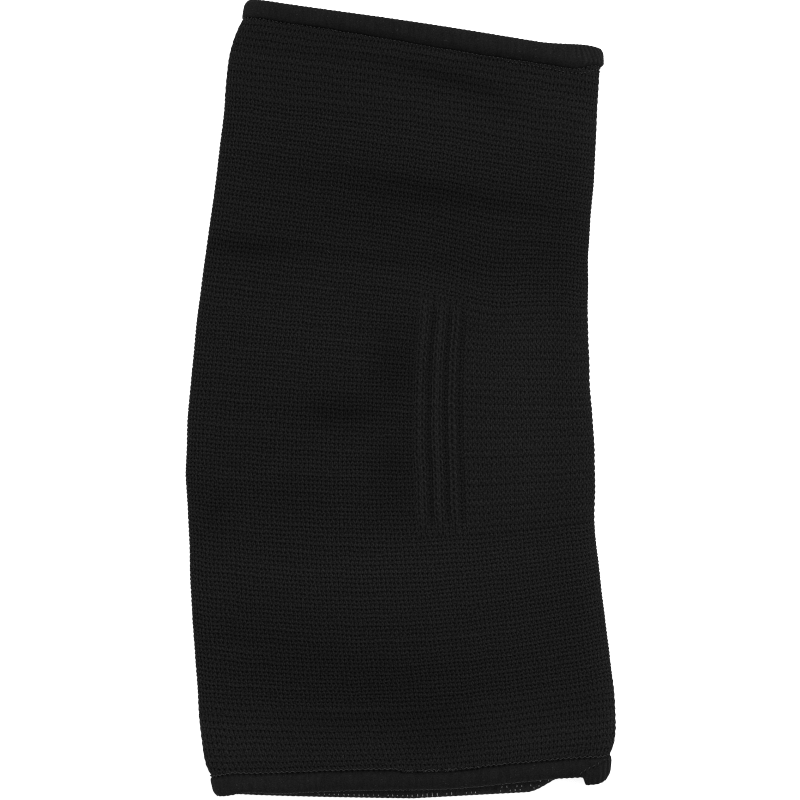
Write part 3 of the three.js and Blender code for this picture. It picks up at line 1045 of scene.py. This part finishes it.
class KNEE_OT_bindings(bpy.types.Operator):
    """Rolled tape round both edges of the tube"""

    bl_idname = "knee.bindings"
    bl_label = "Bindings"

    def execute(self, context):
        settings = context.scene.knee_binding
        wall = context.scene.knee_knit.wall
        material = binding_material(settings)
        around = ridge_places(settings)
        crest = tape_crest(settings, around)
        inside = tape_inside(settings, wall)
        middle = -wall / 2
        gap = settings.gap
        level = np.zeros(len(around))
        for name, node, edge, way, overlap_of, tip_of, look_of in (
            ("upper_binding_tape", UPPER_NODE, 0, -1, upper_overlap, upper_tip, upper_tape_look),
            ("lower_binding_tape", LOWER_NODE, SLEEVE_LENGTH, 1, lower_overlap, lower_tip, lower_tape_look),
        ):
            overlap = overlap_of(settings, around)
            rim = tip_of(settings, around) - TAPE_PEAK
            past = TAPE_PEAK + tape_rows(
                -(TAPE_PEAK + overlap) * np.cos(SEAM_ROWS), rim * np.sin(RIM_ROWS), rim * np.cos(HEM_ROWS)
            )
            out = tape_rows(
                TAPE_FOOT + (crest - TAPE_FOOT) * np.sin(SEAM_ROWS),
                middle + (crest - middle) * np.cos(RIM_ROWS),
                middle + (inside - middle) * np.sin(HEM_ROWS) + level,
            )
            gathered, lean, shade, pit, relief = look_of(settings, around, past)
            wave = np.cos(math.pi * settings.ridges * (around + lean * past / (150 * MM)))
            # Painted shade in the grooves between the cross ridges along the rim
            groove_shade = np.clip(-wave, 0, 1) ** 2
            out = out + relief + ON_TOP * (0.03 * MM + 0.14 * MM * gathered) * (wave - 1)
            past = past + 0.06 * MM * (wave - 1) * AT_RIM**4 * (1 - gathered)
            pit = np.clip(pit + 0.75 * groove_shade * AT_RIM**3 * (1 - INSIDE), 0, 1)
            # Painted light on the crests of the gathers and painted shade between them, and painted light
            # that doubles the tone of the tape's inside, which lies in shade
            tone = shade * (1 + 0.32 * gathered * wave * ON_TOP) + INSIDE
            # Four plain rows close the ring: along the inside of the tape and back under it to the seam
            reach = settings.overlap
            plain = np.stack((level,) * 4)
            past = np.vstack((past, plain + np.array((0.5 * MM - reach, -reach, gap, gap))[:, None]))
            out = np.vstack((out, plain + np.array((inside, -wall - gap, -wall - gap, gap))[:, None]))
            points = wall_path(edge + way * past, around[None, :], out)
            fields = {"pit": np.vstack((pit, plain)), "tone": np.vstack((tone, plain + 1))}
            rows = len(past)
            piece = closed_cloth(name, points, fields, crisp_rows=range(rows - len(plain), rows))
            dress(piece, material, "binding", node)
        return {"FINISHED"}


def slanted_stitches(name, around, down, out_by, length, thick, rng, material, lean=28, base=0):
    """Stitches that lean to one side and the other in turn, in degrees from the way round the tube."""
    centres = wall_path(down, around, out_by)
    turn, towards, out = wall_axes(down, around, np.broadcast_to(out_by, around.shape))
    slant = base + rng.normal(lean, 12, len(around)) * np.where(np.arange(len(around)) % 2, 1, -1)
    slant = np.radians(slant)[:, None]
    along = np.cos(slant) * turn + np.sin(slant) * towards
    dress(stitches(name, centres, along, np.cross(along, out), out, length, thick), material, "thread")


def seam_thread(name, around, down, out_by, facing, radius, material):
    """Thread that runs all the way round the tube."""
    out = wall_axes(down, around, facing)[2]
    dress(thread_ring(name, wall_path(down, around, out_by), out, radius), material, "thread")


def upper_seam(binding, thick, rng, material):
    """A row of small bead-like stitches, doubled towards the back fold."""
    count = 176
    start, full, end = SECOND_ROW
    around = (np.arange(count) + rng.uniform(-0.12, 0.12, count)) / count * 2
    down = upper_overlap(binding, around) + 0.25 * MM
    second = np.flatnonzero((around > start) & (around < end))
    lower = 0.8 * MM + 0.6 * MM * smooth_step(start, full, around[second])
    around = np.concatenate((around, around[second] + 1 / count))
    down = np.concatenate((down, down[second] + lower))
    slanted_stitches("upper_seam_stitches", around, down, 0.37 * MM, 0.8 * MM, 1.15 * thick, rng, material)


def lower_seam(binding, thick, rng, material):
    """A waved thread that dips under the tape between its crests, and its loose loops."""
    around = ridge_places(binding)
    wave = np.cos(math.pi * binding.ridges * around)
    loose = bell(around, LOOSE_PLACE, LOOSE_REACH)
    depth = 0.3 * MM * (1 + 1.4 * loose * drift(0.0, around, 21))
    down = SLEEVE_LENGTH - lower_overlap(binding, around) - 0.45 * MM - depth * wave
    sunk = bell(around, 0, 0.035) + bell(around, 1, 0.04)
    sunk = sunk + 0.7 * loose * (1 + drift(0.0, around * 3, 19))
    out_by = 0.5 * MM + 0.1 * MM * wave - 0.8 * MM * sunk
    seam_thread("lower_seam_thread", around, down, out_by, 0.4 * MM, 0.55 * thick, material)
    count = 34
    around = LOOSE_PLACE + rng.normal(0, 0.06, count)
    down = SLEEVE_LENGTH - lower_overlap(binding, around) + rng.normal(-0.1, 0.55, count) * MM
    slanted_stitches("lower_seam_loops", around, down, 0.5 * MM, 1.3 * MM, thick, rng, material)


def lap_seam(binding, thick, rng, material):
    """Slanting seam where the lower band's end is turned over at the back fold."""
    around = np.arange(LAP_FIRST, LAP_LAST, LAP_PITCH)
    down = SLEEVE_LENGTH + lap_line(around) - 0.2 * MM
    out_by = tape_crest(binding, around) + 0.3 * MM
    size = (1.4 * MM, 1.2 * thick)
    slanted_stitches("lap_seam_stitches", around, down, out_by, *size, rng, material, lean=10, base=-48)


def rim_seam(binding, wall, thick, material):
    """Waved thread along the near rim, lower where the far hem is behind it."""
    around = ridge_places(binding)
    wave = np.cos(math.pi * binding.ridges * around)
    drop = 0.2 * MM * plateau(around, *RIM_BACKED) + 0.1 * MM * wave - 0.3 * MM
    down = SLEEVE_LENGTH + lower_tip(binding, around) + drop
    seam_thread("rim_seam_thread", around, down, -0.1 * wall, -0.1 * wall, 0.52 * thick, material)


def far_hem(binding, wall, rng, material):
    """Upright stitches on the inside of the far hem, with a second row towards the back fold."""
    count = 50
    start, end = FAR_SECOND
    around = 1.14 + (np.arange(count) + rng.uniform(-0.1, 0.1, count)) / count * 0.6
    past = np.full(count, 1.3 * MM)
    second = np.flatnonzero((around > start) & (around < end))
    around = np.concatenate((around, around[second] + 0.4 / count))
    past = np.concatenate((past, past[second] - 1.5 * MM))
    chance = np.select((around < end, around < FAR_CLEAR), (0.65, 0), 0.95)
    keep = rng.uniform(size=len(around)) < chance
    around, past = around[keep], past[keep]
    half = 0.22 + 0.4 * bell(around, 1.455, 0.05) + 0.1 * (past < MM)
    half = half * rng.uniform(0.7, 1.3, len(past)) * smooth_step(*FAR_END, around) * MM + 0.1 * MM
    top, bottom = (
        wall_path(SLEEVE_LENGTH + at, around, hem_offset(binding, wall, at) - 0.05 * MM)
        for at in (past - half, past + half)
    )
    length = np.linalg.norm(bottom - top, axis=1)
    along = (bottom - top) / length[:, None]
    turn = wall_axes(SLEEVE_LENGTH + past, around, np.zeros(len(past)))[0]
    side = np.cross(np.cross(along, turn), along)
    side /= np.linalg.norm(side, axis=1, keepdims=True)
    centres = (top + bottom) / 2
    piece = stitches("far_hem_stitches", centres, along, side, np.cross(along, side), length, 0.32 * MM)
    dress(piece, material, "thread")


def lint(rng, material):
    """Stray fibres and ends of thread on the knit."""
    count = 16
    around = rng.uniform(0.1, 0.9, count)
    down = rng.uniform(12, 258, count) * MM
    length = rng.uniform(0.8, 2.2, count) * MM
    slanted_stitches("stray_fibres", around, down, 0.45 * MM, length, 0.2 * MM, rng, material)
    around, down, length = np.array(LOOSE_ENDS).T
    slanted_stitches("loose_ends", around, down * MM, 0.5 * MM, length * MM, 0.25 * MM, rng, material)


class KNEE_OT_seams(bpy.types.Operator):
    """Stitches that hold the two bands, and lint"""

    bl_idname = "knee.seams"
    bl_label = "Seams"

    def execute(self, context):
        settings = context.scene.knee_thread
        binding = context.scene.knee_binding
        wall = context.scene.knee_knit.wall
        thick = settings.thickness
        grey = thread_material("grey_thread", settings.colour)
        pale = thread_material("pale_thread", settings.pale_colour)
        rng = np.random.default_rng(12)
        upper_seam(binding, thick, rng, grey)
        lower_seam(binding, thick, rng, grey)
        lap_seam(binding, thick, rng, grey)
        rim_seam(binding, wall, thick, grey)
        far_hem(binding, wall, rng, pale)
        lint(rng, grey)
        return {"FINISHED"}


class KNEE_PT_sidebar(bpy.types.Panel):
    """Steps that build the knee support"""

    bl_label = "Knee Support"
    bl_idname = "KNEE_PT_sidebar"
    bl_space_type = "VIEW_3D"
    bl_region_type = "UI"
    bl_category = "Knee Support"

    def draw(self, context):
        for step in STEPS:
            self.layout.operator(step.bl_idname)


STEPS = (KNEE_OT_stage, KNEE_OT_knit, KNEE_OT_bindings, KNEE_OT_seams)
SETTINGS = {
    "knee_knit": KnitSettings,
    "knee_binding": BindingSettings,
    "knee_thread": ThreadSettings,
    "knee_stage": StageSettings,
}
CLASSES = (*SETTINGS.values(), *STEPS, KNEE_PT_sidebar)


def register():
    for item in CLASSES:
        bpy.utils.register_class(item)
    for name, group in SETTINGS.items():
        setattr(bpy.types.Scene, name, PointerProperty(type=group))


def unregister():
    for name in SETTINGS:
        delattr(bpy.types.Scene, name)
    for item in reversed(CLASSES):
        bpy.utils.unregister_class(item)


def main():
    register()
    bpy.ops.knee.stage()
    bpy.ops.knee.knit()
    bpy.ops.knee.bindings()
    bpy.ops.knee.seams()


if __name__ == "__main__":
    main()
